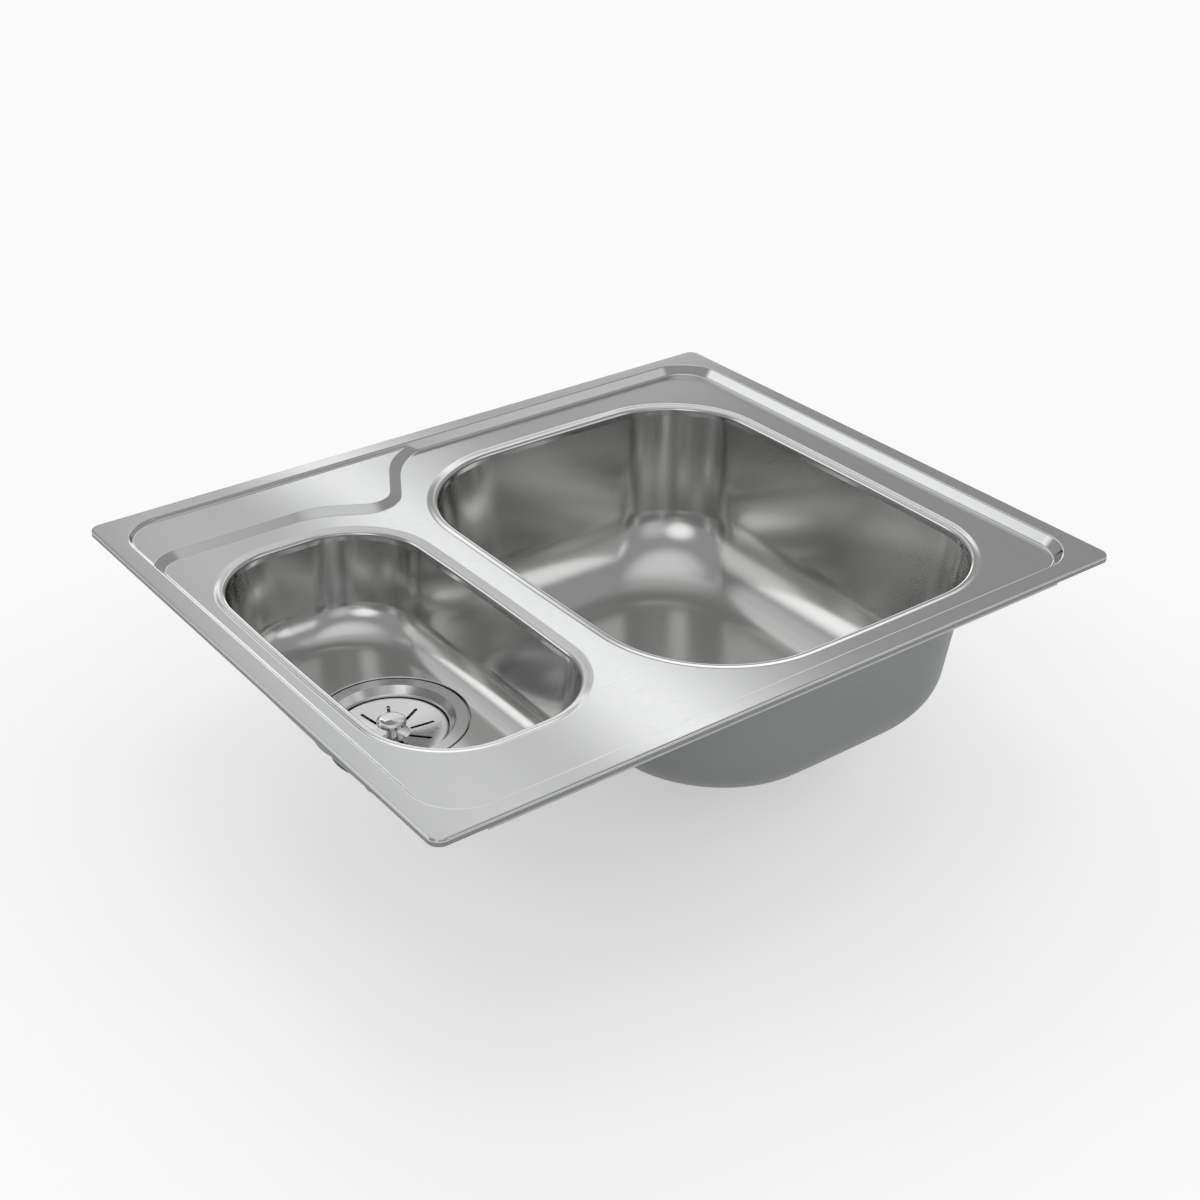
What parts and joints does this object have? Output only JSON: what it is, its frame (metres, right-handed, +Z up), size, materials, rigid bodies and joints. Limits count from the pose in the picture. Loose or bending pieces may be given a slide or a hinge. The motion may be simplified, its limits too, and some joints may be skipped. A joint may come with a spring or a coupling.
{
  "type": "one and a half bowl sink",
  "caption": "Inset stainless steel kitchen sink with a main bowl, a smaller half bowl, a recessed deck with a raised tap ledge, and lift-out basket strainers.",
  "frame": {"origin": "centre of the rim on the worktop's surface, which is the plane of the turned down lip's edge", "axes": "+X to the right along the sink's width, with the half bowl on the left; +Y to the tap side; +Z up"},
  "size_m": [0.6, 0.5, 0.208],
  "materials": {
    "deck_steel": "satin",
    "bowl_steel": "satin, brushed along the walls",
    "rail_steel": "mill finish, galvanised",
    "foam": "closed cell foam, matt",
    "sound_pad": "bitumen pad, matt",
    "waste_steel": "spun, half polished",
    "strainer_steel": "polished",
    "knob_chrome": "polished",
    "screw_steel": "bright",
    "seal_rubber": "smooth, matt",
    "waste_plastic": "moulded"
  },
  "bodies": {
    "root": {"deck": "deck_steel", "main_bowl": "bowl_steel", "half_bowl": "bowl_steel", "rim_seal": "foam", "front_rail": "rail_steel", "back_rail": "rail_steel", "main_sound_pad": "sound_pad", "main_flange": "waste_steel", "main_top_seal": "seal_rubber", "main_low_seal": "seal_rubber", "main_waste_body": "waste_plastic", "main_clamp_screw": "screw_steel", "half_flange": "waste_steel", "half_top_seal": "seal_rubber", "half_low_seal": "seal_rubber", "half_waste_body": "waste_plastic", "half_clamp_screw": "screw_steel"},
    "main_strainer": {"main_basket": "strainer_steel", "main_knob": "knob_chrome", "main_stopper": "seal_rubber"},
    "half_strainer": {"half_basket": "strainer_steel", "half_knob": "knob_chrome", "half_stopper": "seal_rubber"}
  },
  "joints": [
    {"name": "main_strainer_lift", "type": "slide", "parent": "root", "child": "main_strainer", "axis": [0, 0, 1], "range_m": [0, 0.18]},
    {"name": "half_strainer_lift", "type": "slide", "parent": "root", "child": "half_strainer", "axis": [0, 0, 1], "range_m": [0, 0.115]}
  ]
}
